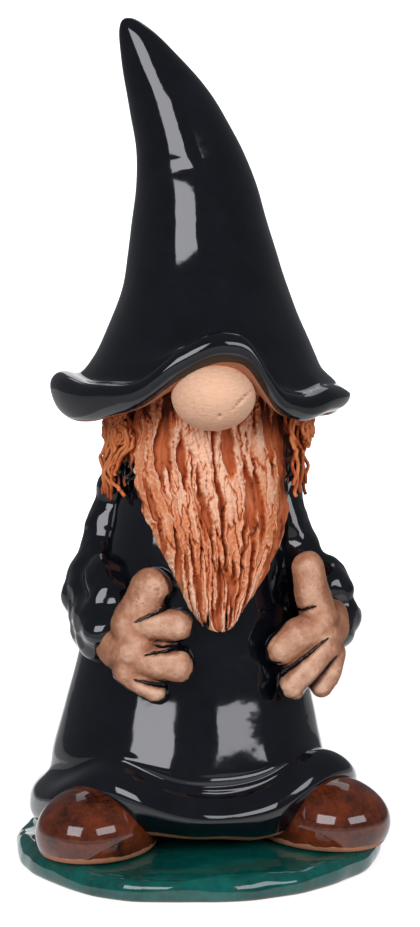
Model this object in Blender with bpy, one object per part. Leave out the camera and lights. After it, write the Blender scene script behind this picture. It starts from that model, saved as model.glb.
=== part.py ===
"""Garden gnome of hand-built, glazed pottery, standing loose on a glazed plate.

Metres, +Z up, the gnome faces -Y, and its own left hand is on +X. The origin is the middle of the plate's
underside. Every piece is a separate lump of clay, shaped and then luted to its neighbours, so each one is
cut back by its neighbours' own shapes, grown by the gap FIT.
"""

import math

import bmesh
import bpy
from mathutils import Matrix, Vector

# Gap between two pieces that are luted face to face
FIT = 0.0003

# Plate: an oval slab with a rounded edge, cut by hand with one full corner and a trimmed one on each side
PLATE_HALF_WIDTH = 0.0742
PLATE_HALF_DEPTH = 0.0720
PLATE_THICKNESS = 0.0095
PLATE_EDGE_RADIUS = 0.003
PLATE_WAVER = 0.0010
PLATE_CORNER = 0.0060
PLATE_CORNER_ANGLE = math.radians(-25)
PLATE_CORNER_SPREAD = math.radians(18)
PLATE_TRIM = 0.0042
PLATE_TRIM_ANGLE = math.radians(58)
PLATE_TRIM_SPREAD = math.radians(26)

# Robe: a hollow cone of slab clay whose hem is turned out into a thick roll
ROBE_HEIGHT = 0.155
ROBE_WALL = 0.0065
ROBE_SKIRT_HALF_WIDTH = 0.0625
ROBE_SKIRT_HALF_DEPTH = 0.0535
ROBE_NECK_HALF_WIDTH = 0.029
ROBE_NECK_HALF_DEPTH = 0.027
ROBE_SET_BACK = 0.004
ROBE_LEAN = 0.0055
HEM_HEIGHT = 0.0255
HEM_ROLL = 0.0062
HEM_TUCK = 0.009
HEM_LIFT = 0.012
HEM_LIFT_SPREAD = math.radians(26)
HEM_FRONT_LIFT = 0.005
HEM_FRONT_SPREAD = math.radians(34)

# Shoes: solid eggs of clay under the hem, each with the angle round the robe at which it sits
SHOE_LENGTH = 0.060
SHOE_WIDTH = 0.043
SHOE_HEIGHT = 0.0265
SHOE_SOLE_INSET = 0.0045
SHOE_RIGHT_ANGLE = math.radians(-34)
SHOE_RIGHT_REACH = -0.0089
SHOE_RIGHT_HEADING = math.radians(-32)
SHOE_LEFT_ANGLE = math.radians(64)
SHOE_LEFT_REACH = -0.0045
SHOE_LEFT_HEADING = math.radians(52)

# Head: a short pinched collar that joins the robe to the hat and is open through its middle
HEAD_HEIGHT = 0.052
HEAD_WALL = 0.0065
HEAD_BULGE = 0.002

# Hat: a hollow horn that leans over to the gnome's right, with a turned and waved brim
HAT_LIFT = 0.0235
HAT_WALL = 0.006
HAT_SHIFT = 0.0030
HAT_CROWN_RISE = 0.015
HAT_CROWN_HALF_WIDTH = 0.0425
HAT_SHOULDER_RISE = 0.030
HAT_SHOULDER_HALF_WIDTH = 0.0362
HAT_WAIST_RISE = 0.064
HAT_WAIST_LEAN = 0.0009
HAT_WAIST_HALF_WIDTH = 0.0270
HAT_BEND_RISE = 0.096
HAT_BEND_LEAN = -0.0043
HAT_BEND_HALF_WIDTH = 0.0205
HAT_HORN_RISE = 0.124
HAT_HORN_LEAN = -0.0171
HAT_HORN_HALF_WIDTH = 0.0124
HAT_TIP_RISE = 0.1457
HAT_TIP_LEAN = -0.0270
HAT_TIP_RADIUS = 0.0042
BRIM_HALF_WIDTH = 0.0597
BRIM_HALF_DEPTH = 0.056
BRIM_LIP = 0.0047
BRIM_TILT = 0.0008
BRIM_PEAK = 0.012
BRIM_PEAK_SPREAD = math.radians(27)
BRIM_DIP = 0.010
BRIM_DIP_ANGLE = math.radians(52)
BRIM_DIP_SPREAD = math.radians(26)
BRIM_TURN = math.radians(-7)

# Nose: a flattened ball under the brim
NOSE_HALF_WIDTH = 0.0157
NOSE_HALF_DEPTH = 0.0150
NOSE_HALF_HEIGHT = 0.0125
NOSE_OFFSET = 0.0060
NOSE_DROP = 0.0045
NOSE_OVERLAP = 0.0075

# Beard: a combed slab that hangs from under the nose and narrows to a blunt tip
BEARD_RISE = 0.006
BEARD_LENGTH = 0.0985
BEARD_HALF_WIDTH = 0.0295
BEARD_TIP_HALF_WIDTH = 0.0055
BEARD_THICKNESS = 0.0095
BEARD_OFFSET = 0.0045
BEARD_SHIFT = 0.0035
BEARD_HAIR_ANGLE = math.radians(3)
BEARD_FURROWS = 9
BEARD_FURROW_DEPTH = 0.0016

# Hair: a pad of clay strings at each side of the head, hanging over the shoulder
HAIR_LENGTH = 0.049
HAIR_RAGGED = 0.0035
HAIR_RIGHT_THICKNESS = 0.0085
HAIR_LEFT_THICKNESS = 0.0150
HAIR_STRINGS = 12
HAIR_STRING_DEPTH = 0.0020
HAIR_RIGHT_FRONT_ANGLE = math.radians(56)
HAIR_LEFT_FRONT_ANGLE = math.radians(66)
HAIR_BACK_ANGLE = math.radians(178)

# Arms: a sleeve from each shoulder, with the hand's wrist set in its cuff
SLEEVE_SINK = 0.003
SLEEVE_SHOULDER_RADIUS = 0.0100
SLEEVE_ELBOW_RADIUS = 0.0140
SLEEVE_CUFF_RADIUS = 0.0125
UPPER_ARM_DROP = 0.0112
UPPER_ARM_RIGHT_OUT = -0.002
UPPER_ARM_LEFT_OUT = 0.001
ELBOW_DROP = 0.0262
ELBOW_RIGHT_OUT = -0.002
ELBOW_LEFT_OUT = 0.010
CUFF_RIGHT_DROP = 0.0422
CUFF_RIGHT_OUT = 0.0
CUFF_LEFT_DROP = 0.0382
CUFF_LEFT_OUT = 0.012
HAND_RIGHT_DROP = 0.0432
HAND_LEFT_DROP = 0.0422
HAND_SPAN = 0.020
WRIST_RADIUS = 0.0078
THUMB_RADIUS = 0.0066
FINGER_RADIUS = 0.0064
LITTLE_FINGER_RADIUS = 0.0054

# Facets of the round pieces
ROBE_SIDES = 40
HAT_SIDES = 32
PLATE_SIDES = 48
SHOE_SIDES = 20
TUBE_SIDES = 12

# Where the pieces stand, worked out from the sizes above
FLOOR = PLATE_THICKNESS + FIT
NECK_TOP = FLOOR + ROBE_HEIGHT
HEAD_BASE = NECK_TOP + FIT
BRIM_LEVEL = NECK_TOP + HAT_LIFT
NOSE_LEVEL = BRIM_LEVEL - NOSE_DROP
HAIR_TOP = BRIM_LEVEL + HAT_CROWN_RISE / 3
SHOULDER_HEIGHT = HAIR_TOP - HAIR_LENGTH - FIT - SLEEVE_SHOULDER_RADIUS - FLOOR


# Helpers: smooth curves, lofts and cuts


def through(stations, key):
    """The values at key on a smooth curve through stations, each of them (key, value, ...)."""
    last = len(stations) - 1
    at = max(0, min(last - 1, sum(s[0] <= key for s in stations) - 1))
    start, end = stations[at], stations[at + 1]
    before, after = stations[max(at - 1, 0)], stations[min(at + 2, last)]
    span = end[0] - start[0]
    t = (key - start[0]) / span
    values = []
    for i in range(1, len(start)):
        slope_in = (end[i] - before[i]) / (end[0] - before[0]) * span
        slope_out = (after[i] - start[i]) / (after[0] - start[0]) * span
        values.append(
            (2 * t**3 - 3 * t**2 + 1) * start[i]
            + (t**3 - 2 * t**2 + t) * slope_in
            + (3 * t**2 - 2 * t**3) * end[i]
            + (t**3 - t**2) * slope_out
        )
    return values


def bump(angle, centre, spread):
    """A smooth hill of height 1 at centre, on a scale of angles that wraps round."""
    away = (angle - centre + math.pi) % math.tau - math.pi
    return math.exp(-((away / spread) ** 2))


def ring_angles(sides):
    """Evenly spread angles, 0 at the front and growing towards the gnome's left."""
    return [math.tau * i / sides for i in range(sides)]


def material(name, colour, roughness):
    made = bpy.data.materials.get(name) or bpy.data.materials.new(name)
    made.use_nodes = True
    shader = made.node_tree.nodes["Principled BSDF"]
    shader.inputs["Base Color"].default_value = (*colour, 1)
    shader.inputs["Roughness"].default_value = roughness
    shader.inputs["Metallic"].default_value = 0.0
    return made


def black_glaze():
    return material("black_glaze", (0.012, 0.012, 0.015), 0.08)


def green_glaze():
    return material("green_glaze", (0.004, 0.085, 0.065), 0.15)


def brown_glaze():
    return material("brown_glaze", (0.10, 0.022, 0.009), 0.12)


def pale_clay():
    return material("pale_clay", (0.62, 0.33, 0.20), 0.75)


def orange_clay():
    return material("orange_clay", (0.50, 0.16, 0.06), 0.7)


def finished(name, bm, made_of):
    """The closed mesh bm as a named object, with its faces pointing out."""
    bmesh.ops.recalc_face_normals(bm, faces=bm.faces)
    mesh = bpy.data.meshes.new(name)
    bm.to_mesh(mesh)
    bm.free()
    mesh.shade_smooth()
    mesh.set_sharp_from_angle(angle=math.radians(50))
    mesh.materials.append(made_of)
    obj = bpy.data.objects.new(name, mesh)
    bpy.context.scene.collection.objects.link(obj)
    return obj


def loft(name, rings, made_of, closed=False):
    """A skin over rings of points. It is capped at both ends, or runs back to its first ring when closed."""
    bm = bmesh.new()
    loops = [[bm.verts.new(p) for p in ring] for ring in rings]
    following = loops[1:] + loops[:1] if closed else loops[1:]
    for first, second in zip(loops, following):
        for i in range(len(first)):
            bm.faces.new((first[i - 1], first[i], second[i], second[i - 1]))
    if not closed:
        bm.faces.new(loops[0])
        bm.faces.new(loops[-1])
    return finished(name, bm, made_of)


def pad(name, columns, rows, back, front, made_of):
    """A closed slab between two grids of points, back(u, v) and front(u, v), with u and v from 0 to 1."""
    bm = bmesh.new()
    sheets = []
    for side in (back, front):
        sheets.append(
            [
                [bm.verts.new(side(c / columns, r / rows)) for c in range(columns + 1)]
                for r in range(rows + 1)
            ]
        )
    for sheet in sheets:
        for r in range(rows):
            for c in range(columns):
                bm.faces.new(
                    (sheet[r][c], sheet[r][c + 1], sheet[r + 1][c + 1], sheet[r + 1][c])
                )
    rims = [
        s[0]
        + [row[-1] for row in s[1:-1]]
        + s[-1][::-1]
        + [row[0] for row in s[-2:0:-1]]
        for s in sheets
    ]
    for i in range(len(rims[0])):
        bm.faces.new((rims[0][i - 1], rims[0][i], rims[1][i], rims[1][i - 1]))
    return finished(name, bm, made_of)


def tube(name, path, radii, made_of, rounds=3, sides=TUBE_SIDES):
    """A round bar along path with domed ends, path and radii being lists of equal length."""
    points = [Vector(p) for p in path]
    tangents = [
        (
            points[min(i + 1, len(points) - 1)] - points[max(i - 1, 0)]
        ).normalized()
        for i in range(len(points))
    ]
    stations = []
    quarter = [math.pi / 2 * k / (rounds + 0.35) for k in range(rounds, 0, -1)]
    for turn in quarter:
        shift = -tangents[0] * radii[0] * math.sin(turn)
        stations.append((points[0] + shift, tangents[0], radii[0] * math.cos(turn)))
    stations += list(zip(points, tangents, radii))
    for turn in quarter[::-1]:
        shift = tangents[-1] * radii[-1] * math.sin(turn)
        stations.append((points[-1] + shift, tangents[-1], radii[-1] * math.cos(turn)))
    rings = []
    side_way = tangents[0].orthogonal().normalized()
    for centre, along, radius in stations:
        side_way = (side_way - along * side_way.dot(along)).normalized()
        other_way = along.cross(side_way)
        rings.append(
            [
                centre + (side_way * math.cos(a) + other_way * math.sin(a)) * radius
                for a in ring_angles(sides)
            ]
        )
    return loft(name, rings, made_of)


def curve_path(stations, steps):
    """Points on a smooth curve through stations (x, y, z, radius), and the radii there."""
    keyed = [(i, *s) for i, s in enumerate(stations)]
    count = (len(stations) - 1) * steps
    values = [through(keyed, i / steps) for i in range(count + 1)]
    return [v[:3] for v in values], [v[3] for v in values]


def as_cutter(obj):
    """A hidden helper that shapes other pieces and isn't a piece itself."""
    obj.hide_render = True
    obj.display_type = "WIRE"
    return obj


def shaped(obj, operation, tools):
    """obj with each of the tools joined to it or cut from it."""
    for tool in tools:
        modifier = obj.modifiers.new(f"{operation.lower()}_{tool.name}", "BOOLEAN")
        modifier.operation = operation
        modifier.object = as_cutter(tool)
    return obj


# The body's surface, which the robe, the head and all that lies on them share


def body_middle(height):
    """The middle of the figure at this height: the cone leans a little to the gnome's left as it rises."""
    share = min(1, max(0, (height - FLOOR) / ROBE_HEIGHT))
    return Vector((-ROBE_LEAN * (1 - share), ROBE_SET_BACK, height))


def body_halves(height):
    """Half the width and half the depth of the robe's cone, and of the head above it."""
    share = max(0, min(1, (height - FLOOR) / ROBE_HEIGHT))
    taper = (1 - share) ** 1.15
    width = ROBE_NECK_HALF_WIDTH + (ROBE_SKIRT_HALF_WIDTH - ROBE_NECK_HALF_WIDTH) * taper
    depth = ROBE_NECK_HALF_DEPTH + (ROBE_SKIRT_HALF_DEPTH - ROBE_NECK_HALF_DEPTH) * taper
    above = max(0, min(1, (height - NECK_TOP) / HEAD_HEIGHT))
    swell = HEAD_BULGE * math.sin(math.pi * above)
    return width + swell, depth + swell


def body_point(angle, height, out=0.0):
    """A point on the body at an angle round it, or out from it."""
    width, depth = body_halves(height)
    reach = Vector(((width + out) * math.sin(angle), -(depth + out) * math.cos(angle), 0))
    return body_middle(height) + reach


def body_ring(height, out, sides, lift=None):
    points = [body_point(a, height, out) for a in ring_angles(sides)]
    if lift:
        for point, angle in zip(points, ring_angles(sides)):
            point.z += lift(angle)
    return points


# Plate


def plate_outline(inset):
    """The oval of the plate, wavering as a slab cut by hand does, and centred on the origin."""
    points = []
    for a in ring_angles(PLATE_SIDES):
        waver = PLATE_CORNER * bump(a, PLATE_CORNER_ANGLE, PLATE_CORNER_SPREAD)
        waver -= PLATE_WAVER * math.cos(6 * a)
        for side in (-1, 1):
            waver -= PLATE_TRIM * bump(a, side * PLATE_TRIM_ANGLE, PLATE_TRIM_SPREAD)
        points.append(
            Vector(
                (
                    (PLATE_HALF_WIDTH + waver - inset) * math.sin(a),
                    -(PLATE_HALF_DEPTH + waver - inset) * math.cos(a),
                    0,
                )
            )
        )
    middle = Vector(
        [(min(p[i] for p in points) + max(p[i] for p in points)) / 2 for i in range(3)]
    )
    return [p - middle for p in points]


def base_plate():
    rings = []
    for level, inset in (
        (0, PLATE_EDGE_RADIUS / 3),
        (PLATE_EDGE_RADIUS / 2, 0),
        (PLATE_THICKNESS - PLATE_EDGE_RADIUS, 0),
        (PLATE_THICKNESS - PLATE_EDGE_RADIUS * 0.3, PLATE_EDGE_RADIUS * 0.3),
        (PLATE_THICKNESS, PLATE_EDGE_RADIUS),
    ):
        rings.append([p + Vector((0, 0, level)) for p in plate_outline(inset)])
    return loft("base_plate", rings, green_glaze())


# Shoes


def shoe_middle(angle, reach):
    """Where a shoe stands on the plate: under the hem, at this angle round the robe."""
    return body_point(angle, FLOOR, reach)


def shoe(name, angle, reach, heading, grow=0.0):
    """An egg with a flat sole, its blunt end forward."""
    middle = shoe_middle(angle, reach)
    turn = Matrix.Rotation(heading, 3, "Z")
    levels = 7
    rings = []
    for level in range(levels + 1):
        share = level / (levels + 0.25)
        low = max(0, 1 - share / 0.3)
        size = math.sqrt(1 - share**2.4)
        inset = SHOE_SOLE_INSET * low**2 - grow
        height = -grow if level == 0 else share * (SHOE_HEIGHT + grow)
        ring = []
        for a in ring_angles(SHOE_SIDES):
            width = SHOE_WIDTH / 2 * (1 + 0.14 * math.cos(a))
            flat = Vector(
                (
                    (width * size - inset) * math.sin(a),
                    -(SHOE_LENGTH / 2 * size - inset) * math.cos(a),
                    height,
                )
            )
            ring.append(middle + turn @ flat)
        rings.append(ring)
    return loft(name, rings, brown_glaze())


def shoe_right(name="shoe_right", grow=0.0):
    return shoe(name, SHOE_RIGHT_ANGLE, SHOE_RIGHT_REACH, SHOE_RIGHT_HEADING, grow)


def shoe_left(name="shoe_left", grow=0.0):
    return shoe(name, SHOE_LEFT_ANGLE, SHOE_LEFT_REACH, SHOE_LEFT_HEADING, grow)


# Robe


def hem_lift(angle):
    """The hem rises where it is draped over a shoe."""
    shoes = (SHOE_RIGHT_ANGLE, SHOE_LEFT_ANGLE)
    return sum(HEM_LIFT * bump(angle, a, HEM_LIFT_SPREAD) for a in shoes)


def front_lift(angle):
    """The lower edge hangs clear of the plate between the shoes."""
    return HEM_FRONT_LIFT * bump(angle, 0, HEM_FRONT_SPREAD)


def robe_outer_rings(grow):
    """Rings up the outside: the tucked edge, the rolled hem, the crease over it and the plain cone."""
    hem = (
        (0.0, -HEM_TUCK, 0.4),
        (0.14, -HEM_TUCK * 0.3, 0.6),
        (0.34, HEM_ROLL * 0.7, 0.8),
        (0.58, HEM_ROLL, 1.0),
        (0.82, HEM_ROLL * 0.65, 1.0),
        (1.0, 0.0, 0.9),
        (1.3, -HEM_ROLL * 0.1, 0.5),
    )
    rings = []
    for share, out, weight in hem:
        height = FLOOR + share * HEM_HEIGHT
        rings.append(
            body_ring(
                height,
                out + grow,
                ROBE_SIDES,
                lambda a, w=weight, s=share: w * hem_lift(a) + max(0, 1 - s) * front_lift(a),
            )
        )
    first = FLOOR + HEM_HEIGHT * 2.1
    courses = 7
    for course in range(courses + 1):
        height = first + (NECK_TOP - first) * course / courses
        rings.append(body_ring(height, grow, ROBE_SIDES))
    return rings


def robe_filled(name, grow):
    """The robe's outer shape as one lump, which cuts the backs of what lies on it."""
    return loft(name, robe_outer_rings(grow), black_glaze())


def robe():
    inner = []
    courses = 5
    for course in range(courses + 1):
        height = NECK_TOP - ROBE_HEIGHT * course / courses
        inner.append(body_ring(height, -ROBE_WALL - HEM_TUCK * (course == courses), ROBE_SIDES))
    rings = robe_outer_rings(0) + inner
    made = loft("robe", rings, black_glaze(), closed=True)
    shoes = [shoe_right("shoe_right_seat", FIT), shoe_left("shoe_left_seat", FIT)]
    return shaped(made, "DIFFERENCE", shoes)


# Head


def head_rings(grow):
    rings = []
    courses = 5
    for course in range(courses + 1):
        height = HEAD_BASE + (HEAD_HEIGHT - FIT) * course / courses
        rings.append(body_ring(height, grow, ROBE_SIDES // 2))
    return rings


def head():
    outer = head_rings(0)
    inner = [
        body_ring(ring[0].z, -HEAD_WALL, ROBE_SIDES // 2) for ring in outer[::-1]
    ]
    return loft("head", outer + inner, pale_clay(), closed=True)


# Nose


def nose_middle():
    _, depth = body_halves(NOSE_LEVEL)
    front = body_middle(NOSE_LEVEL).y - depth
    return Vector((NOSE_OFFSET, front - NOSE_HALF_DEPTH - BEARD_THICKNESS + NOSE_OVERLAP, NOSE_LEVEL))


def nose(name="nose", grow=0.0):
    bm = bmesh.new()
    bmesh.ops.create_uvsphere(bm, u_segments=20, v_segments=12, radius=1)
    halves = Vector((NOSE_HALF_WIDTH, NOSE_HALF_DEPTH, NOSE_HALF_HEIGHT))
    place = Matrix.Translation(nose_middle()) @ Matrix.Diagonal((*(h + grow for h in halves), 1))
    bmesh.ops.transform(bm, matrix=place, verts=bm.verts)
    return finished(name, bm, pale_clay())


# Hat


def brim_wave(angle):
    """How far the brim is bent up over the nose, down at each side of it, and tilted to the left."""
    turned = angle - BRIM_TURN
    dips = sum(bump(turned, side * BRIM_DIP_ANGLE, BRIM_DIP_SPREAD) for side in (-1, 1))
    nose_angle = math.atan2(NOSE_OFFSET, BRIM_HALF_DEPTH)
    peak = BRIM_PEAK * bump(angle, nose_angle, BRIM_PEAK_SPREAD)
    return peak - BRIM_DIP * dips - BRIM_TILT * math.sin(angle)


def hat_stations():
    """The horn's middle line and half-width at each height above the brim."""
    return (
        (HAT_CROWN_RISE, HAT_SHIFT, HAT_CROWN_HALF_WIDTH),
        (HAT_SHOULDER_RISE, HAT_SHIFT, HAT_SHOULDER_HALF_WIDTH),
        (HAT_WAIST_RISE, HAT_WAIST_LEAN, HAT_WAIST_HALF_WIDTH),
        (HAT_BEND_RISE, HAT_BEND_LEAN, HAT_BEND_HALF_WIDTH),
        (HAT_HORN_RISE, HAT_HORN_LEAN, HAT_HORN_HALF_WIDTH),
        (HAT_TIP_RISE - HAT_TIP_RADIUS, HAT_TIP_LEAN, HAT_TIP_RADIUS),
    )


def hat_ring(rise, out):
    """A ring square to the horn's middle line."""
    stations = hat_stations()
    lean, half = through(stations, rise)
    step = 0.0005
    low, high = through(stations, rise - step)[0], through(stations, rise + step)[0]
    tilt = Matrix.Rotation(math.atan2(high - low, 2 * step), 3, "Y")
    level = (rise - HAT_CROWN_RISE) / (HAT_TIP_RISE - HAT_CROWN_RISE)
    middle = Vector((lean, ROBE_SET_BACK, BRIM_LEVEL + rise))
    square = Matrix.Identity(3).lerp(tilt, min(1, level * 2))
    return [
        middle + square @ (Vector((math.sin(a), -math.cos(a), 0)) * (half + out))
        for a in ring_angles(HAT_SIDES)
    ]


def brim_ring(share, out, rise):
    """A ring of the brim: share 0 is the foot of the crown and 1 the middle of the lip."""
    ring = []
    for a in ring_angles(HAT_SIDES):
        width = HAT_CROWN_HALF_WIDTH + (BRIM_HALF_WIDTH - BRIM_LIP - HAT_CROWN_HALF_WIDTH) * share
        depth = HAT_CROWN_HALF_WIDTH + (BRIM_HALF_DEPTH - BRIM_LIP - HAT_CROWN_HALF_WIDTH) * share
        drop = HAT_CROWN_RISE * (1 - share) ** 1.5
        ring.append(
            Vector(
                (
                    HAT_SHIFT + (width + out) * math.sin(a),
                    ROBE_SET_BACK - (depth + out) * math.cos(a),
                    BRIM_LEVEL + drop + rise + share**1.3 * brim_wave(a),
                )
            )
        )
    return ring


def hat(name="hat", grow=0.0):
    """The shell from the inside of its tip down to the lip of the brim, round it, and up to the tip."""
    wall = HAT_WALL + grow
    top = HAT_HORN_RISE - HAT_WALL
    courses = 5
    inside = [
        hat_ring(top + (HAT_CROWN_RISE - top) * c / courses, -wall) for c in range(courses)
    ]
    lip = BRIM_LIP + grow
    brim = [brim_ring(s, -wall * 0.8 * (1 - s), -lip * (0.3 + 0.7 * s)) for s in (0.0, 0.35, 0.7)]
    turns = 5
    for turn in range(turns + 1):
        a = math.pi * (turn / turns - 0.5)
        brim.append(brim_ring(1.0, lip * math.cos(a), lip * math.sin(a)))
    brim += [brim_ring(s, grow, lip * (0.3 + 0.7 * s) * s) for s in (0.7, 0.35)]
    courses = 9
    last = HAT_TIP_RISE - HAT_TIP_RADIUS
    outside = [
        hat_ring(HAT_CROWN_RISE + (last - HAT_CROWN_RISE) * c / courses, grow)
        for c in range(courses + 1)
    ]
    outside.append(dome(outside[-1], HAT_TIP_RADIUS + grow, math.radians(40)))
    outside.append(dome(outside[-2], HAT_TIP_RADIUS + grow, math.radians(75)))
    return loft(name, inside + brim + outside, black_glaze())


def dome(ring, radius, turn):
    """A smaller ring above this one, on a dome of this radius."""
    middle = sum(ring, Vector()) / len(ring)
    quarter = len(ring) // 4
    up = (ring[quarter] - middle).cross(middle - ring[0]).normalized()
    up = up if up.z > 0 else -up
    return [
        middle + (p - middle) * math.cos(turn) + up * radius * math.sin(turn) for p in ring
    ]


# Beard


def beard(name="beard", grow=0.0):
    top = BRIM_LEVEL + BEARD_RISE
    outline = (
        (0.0, BEARD_HALF_WIDTH * 0.93),
        (0.25, BEARD_HALF_WIDTH),
        (0.55, BEARD_HALF_WIDTH * 0.86),
        (0.85, BEARD_HALF_WIDTH * 0.42),
        (1.0, BEARD_TIP_HALF_WIDTH),
    )

    right_end = -math.sin(HAIR_RIGHT_FRONT_ANGLE - BEARD_HAIR_ANGLE)
    left_end = math.sin(HAIR_LEFT_FRONT_ANGLE - BEARD_HAIR_ANGLE)

    def place(u, v, out):
        height = top - BEARD_LENGTH * v
        (half,) = through(outline, v)
        across = BEARD_OFFSET + BEARD_SHIFT * v + (2 * u - 1) * (half + grow)
        width, _ = body_halves(height)
        sine = (across - body_middle(height).x) / (width + out)
        return body_point(math.asin(max(right_end, min(left_end, sine))), height, out)

    def back(u, v):
        return place(u, v, 2 * FIT - 4 * grow)

    def front(u, v):
        edge = 1 - abs(2 * u - 1) ** 4
        furrow = BEARD_FURROW_DEPTH * math.cos(math.tau * BEARD_FURROWS * u + 3 * v)
        full = BEARD_THICKNESS * (0.45 + 0.55 * edge) * (1 - 0.35 * v)
        return place(u, v, full + furrow * edge + grow)

    return pad(name, BEARD_FURROWS * 4, 9, back, front, orange_clay())


# Hair


def hair(name, side, front_angle, thickness):
    def place(u, v, out):
        angle = side * (front_angle + (HAIR_BACK_ANGLE - front_angle) * u)
        ragged = HAIR_RAGGED * (2 - math.cos(math.tau * HAIR_STRINGS * u) - math.sin(7 * u))
        return body_point(angle, HAIR_TOP - (HAIR_LENGTH - ragged) * v, out)

    def back(u, v):
        return place(u, v, 2 * FIT)

    def front(u, v):
        edge = 1 - abs(2 * u - 1) ** 6
        string = HAIR_STRING_DEPTH * math.cos(math.tau * HAIR_STRINGS * u + 2.5 * v)
        full = thickness * (0.5 + 0.5 * math.sin(math.pi * (0.25 + 0.6 * v)))
        return place(u, v, full * (0.5 + 0.5 * edge) + string * edge)

    return pad(name, HAIR_STRINGS * 4, 5, back, front, orange_clay())


# Arms


def arm_point(angle, drop, out):
    """A point on the robe this far below the shoulder, or out from the robe there."""
    return body_point(math.radians(angle), FLOOR + SHOULDER_HEIGHT - drop, out)


def sleeve_right():
    stations = (
        (*arm_point(-92, 0, -SLEEVE_SINK), SLEEVE_SHOULDER_RADIUS),
        (*arm_point(-90, UPPER_ARM_DROP, UPPER_ARM_RIGHT_OUT), SLEEVE_SHOULDER_RADIUS * 1.1),
        (*arm_point(-84, ELBOW_DROP, ELBOW_RIGHT_OUT), SLEEVE_ELBOW_RADIUS),
        (*arm_point(-62, CUFF_RIGHT_DROP, CUFF_RIGHT_OUT), SLEEVE_CUFF_RADIUS),
    )
    path, radii = curve_path(stations, 3)
    return tube("sleeve_right", path, radii, black_glaze())


def sleeve_left():
    stations = (
        (*arm_point(92, 0, -SLEEVE_SINK), SLEEVE_SHOULDER_RADIUS),
        (*arm_point(90, UPPER_ARM_DROP, UPPER_ARM_LEFT_OUT), SLEEVE_SHOULDER_RADIUS * 1.1),
        (*arm_point(86, ELBOW_DROP, ELBOW_LEFT_OUT), SLEEVE_ELBOW_RADIUS * 0.92),
        (*arm_point(78, CUFF_LEFT_DROP, CUFF_LEFT_OUT), SLEEVE_CUFF_RADIUS),
    )
    path, radii = curve_path(stations, 3)
    return tube("sleeve_left", path, radii, black_glaze())


def hand(name, anchor, bars, grow):
    """A palm and wrist with fingers and a thumb: bars (label, root, tip, root radius, tip radius).

    A root or tip is (to the gnome's left, up, out from the robe), in hand spans from the anchor.
    """
    lumps = []
    for label, root, tip, root_radius, tip_radius in bars:
        ends = [anchor + HAND_SPAN * Vector((x, -out, up)) for x, up, out in (root, tip)]
        lumps.append(
            tube(
                f"{name}_{label}" if lumps else name,
                [ends[0].lerp(ends[1], t) for t in (0, 0.5, 1)],
                [root_radius + grow, (root_radius + tip_radius) / 2 + grow, tip_radius + grow],
                pale_clay(),
            )
        )
    return shaped(lumps[0], "UNION", lumps[1:])


def hand_right(name="hand_right", grow=0.0):
    anchor = arm_point(-33, HAND_RIGHT_DROP, 0)
    wrist, finger, little = WRIST_RADIUS, FINGER_RADIUS, LITTLE_FINGER_RADIUS
    bars = (
        ("palm", (-0.1, -0.25, 0.35), (0, 0.25, 0.35), wrist * 1.2, wrist * 1.1),
        ("wrist", (-0.05, -0.05, 0.3), (-0.6, 0, 0.1), wrist, wrist),
        ("thumb", (0, 0.4, 0.35), (0.45, 1.1, 0.35), THUMB_RADIUS, THUMB_RADIUS * 1.1),
        ("index", (0.15, 0.25, 0.4), (0.95, 0.25, 0.6), finger, finger),
        ("middle", (0.1, -0.25, 0.4), (0.95, -0.4, 0.6), finger, finger),
        ("little", (-0.1, -0.5, 0.4), (0.55, -0.9, 0.45), little, little),
    )
    return hand(name, anchor, bars, grow)


def hand_left(name="hand_left", grow=0.0):
    anchor = arm_point(62, HAND_LEFT_DROP, 0)
    wrist, finger, little = WRIST_RADIUS, FINGER_RADIUS, LITTLE_FINGER_RADIUS
    bars = (
        ("palm", (0.75, -0.25, 0.5), (0.7, 0.3, 0.55), wrist * 1.1, wrist),
        ("wrist", (0.75, 0.05, 0.45), (0.85, 0.25, -0.1), wrist, wrist),
        ("thumb", (0.65, 0.4, 0.6), (0.375, 1.3, 0.55), THUMB_RADIUS, THUMB_RADIUS * 0.95),
        ("index", (0.6, 0.15, 0.65), (-0.1, -0.15, 0.65), finger, finger),
        ("middle", (0.7, -0.3, 0.6), (0.05, -0.95, 0.6), finger, finger),
        ("little", (0.9, -0.4, 0.5), (0.65, -1.05, 0.45), little, little),
    )
    return hand(name, anchor, bars, grow)


# Assembly


def main():
    for obj in list(bpy.data.objects):
        bpy.data.objects.remove(obj)
    body = robe_filled("robe_seat", FIT)
    collar = loft("head_seat", head_rings(FIT), pale_clay())
    nose_seat = nose("nose_seat", FIT)
    beard_seat = beard("beard_seat", FIT)
    base_plate()
    robe()
    shoe_right()
    shoe_left()
    shaped(head(), "DIFFERENCE", [hat("hat_seat", FIT)])
    shaped(nose(), "DIFFERENCE", [collar])
    shaped(hat(), "DIFFERENCE", [nose_seat])
    shaped(beard(), "DIFFERENCE", [nose_seat])
    hair("hair_right", -1, HAIR_RIGHT_FRONT_ANGLE, HAIR_RIGHT_THICKNESS)
    hair("hair_left", 1, HAIR_LEFT_FRONT_ANGLE, HAIR_LEFT_THICKNESS)
    shaped(hand_right(), "DIFFERENCE", [body, beard_seat])
    shaped(hand_left(), "DIFFERENCE", [body, beard_seat])
    shaped(sleeve_right(), "DIFFERENCE", [body, hand_right("hand_right_seat", FIT)])
    shaped(sleeve_left(), "DIFFERENCE", [body, hand_left("hand_left_seat", FIT)])


main()
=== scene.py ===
# %% [markdown]
# # A garden gnome in glazed pottery
#
# The gnome is built by hand from soft clay: a hollow robe, a hat like a leaning horn, a combed beard, hair
# of pressed clay strings, sleeves, hands and shoes, all standing on a green plate. This lesson loads the
# solid model first, because every piece that we shape here has to sit where its solid sits.

# %% Load the solid model
import math

import bpy
import numpy as np
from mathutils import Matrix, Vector, noise


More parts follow.
